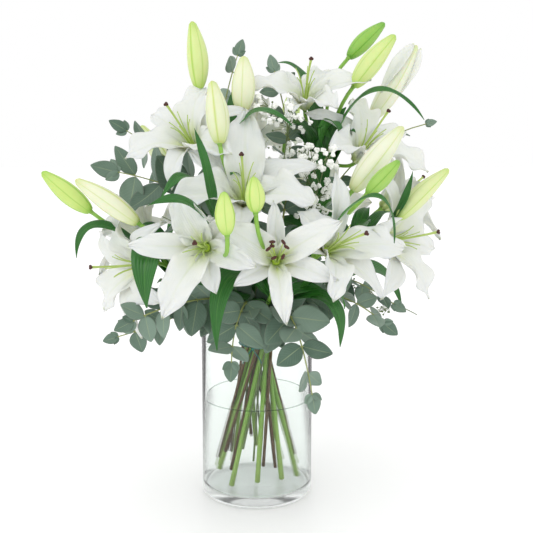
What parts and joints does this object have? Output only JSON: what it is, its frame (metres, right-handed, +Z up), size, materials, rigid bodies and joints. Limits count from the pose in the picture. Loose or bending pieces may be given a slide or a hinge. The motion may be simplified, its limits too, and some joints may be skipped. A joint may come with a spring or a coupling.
{
  "type": "lilies in a glass vase",
  "caption": "A hand-tied bouquet of white lilies, lily buds, eucalyptus and gypsophila that stands in water in a clear cylinder vase with a thick base.",
  "frame": {"origin": "the centre of the vase's flat base", "axes": "+Z up, the front of the bouquet faces -Y"},
  "size_m": [0.5288, 0.4154, 0.6361],
  "materials": {
    "vase_glass": "polished",
    "water": "polished",
    "twine": "matte",
    "petal": "satin",
    "bud": "satin",
    "lily_green": "satin",
    "eucalyptus_leaf": "matte",
    "gypsophila_white": "matte"
  },
  "bodies": {
    "root": {"vase": "vase_glass", "water": "water", "twine_tie": "twine", "bloom_front": "petal", "bloom_centre": "petal", "bloom_upper_left": "petal", "bloom_left_front": "petal", "bloom_left": "petal", "bloom_right_front": "petal", "bloom_right": "petal", "bloom_upper_right": "petal", "bloom_top": "petal", "bloom_right_back": "petal", "bloom_far_left": "petal", "bloom_back_left": "petal", "bloom_back_right": "petal", "bloom_back_top": "petal", "bud_top_left": "bud", "bud_left_of_centre": "bud", "bud_centre_top": "bud", "bud_top_right_high": "bud", "bud_top_right_low": "bud", "bud_opening_right": "bud", "bud_right_white": "bud", "bud_right_green": "bud", "bud_right_edge": "bud", "bud_left_edge": "bud", "bud_left_white": "bud", "bud_front_left": "bud", "bud_front_right": "bud", "bud_back_high": "bud", "bud_back_left": "bud", "lily_stem_back_left": "lily_green", "lily_stem_left": "lily_green", "lily_stem_upper_left": "lily_green", "lily_stem_left_front": "lily_green", "lily_stem_centre": "lily_green", "lily_stem_front": "lily_green", "lily_stem_right_front": "lily_green", "lily_stem_right": "lily_green", "lily_stem_upper_right": "lily_green", "lily_stem_back_right": "lily_green", "eucalyptus_left_high": "eucalyptus_leaf", "eucalyptus_left_upright": "eucalyptus_leaf", "eucalyptus_top": "eucalyptus_leaf", "eucalyptus_left_low": "eucalyptus_leaf", "eucalyptus_left_trailing": "eucalyptus_leaf", "eucalyptus_front_left": "eucalyptus_leaf", "eucalyptus_front_drooping": "eucalyptus_leaf", "eucalyptus_right_low": "eucalyptus_leaf", "eucalyptus_right_back": "eucalyptus_leaf", "eucalyptus_right_tip": "eucalyptus_leaf", "eucalyptus_centre": "eucalyptus_leaf", "eucalyptus_back": "eucalyptus_leaf", "gypsophila_centre": "gypsophila_white", "gypsophila_right": "gypsophila_white", "gypsophila_low_right": "gypsophila_white", "gypsophila_left": "gypsophila_white", "gypsophila_front": "gypsophila_white", "gypsophila_back": "gypsophila_white"}
  },
  "joints": []
}
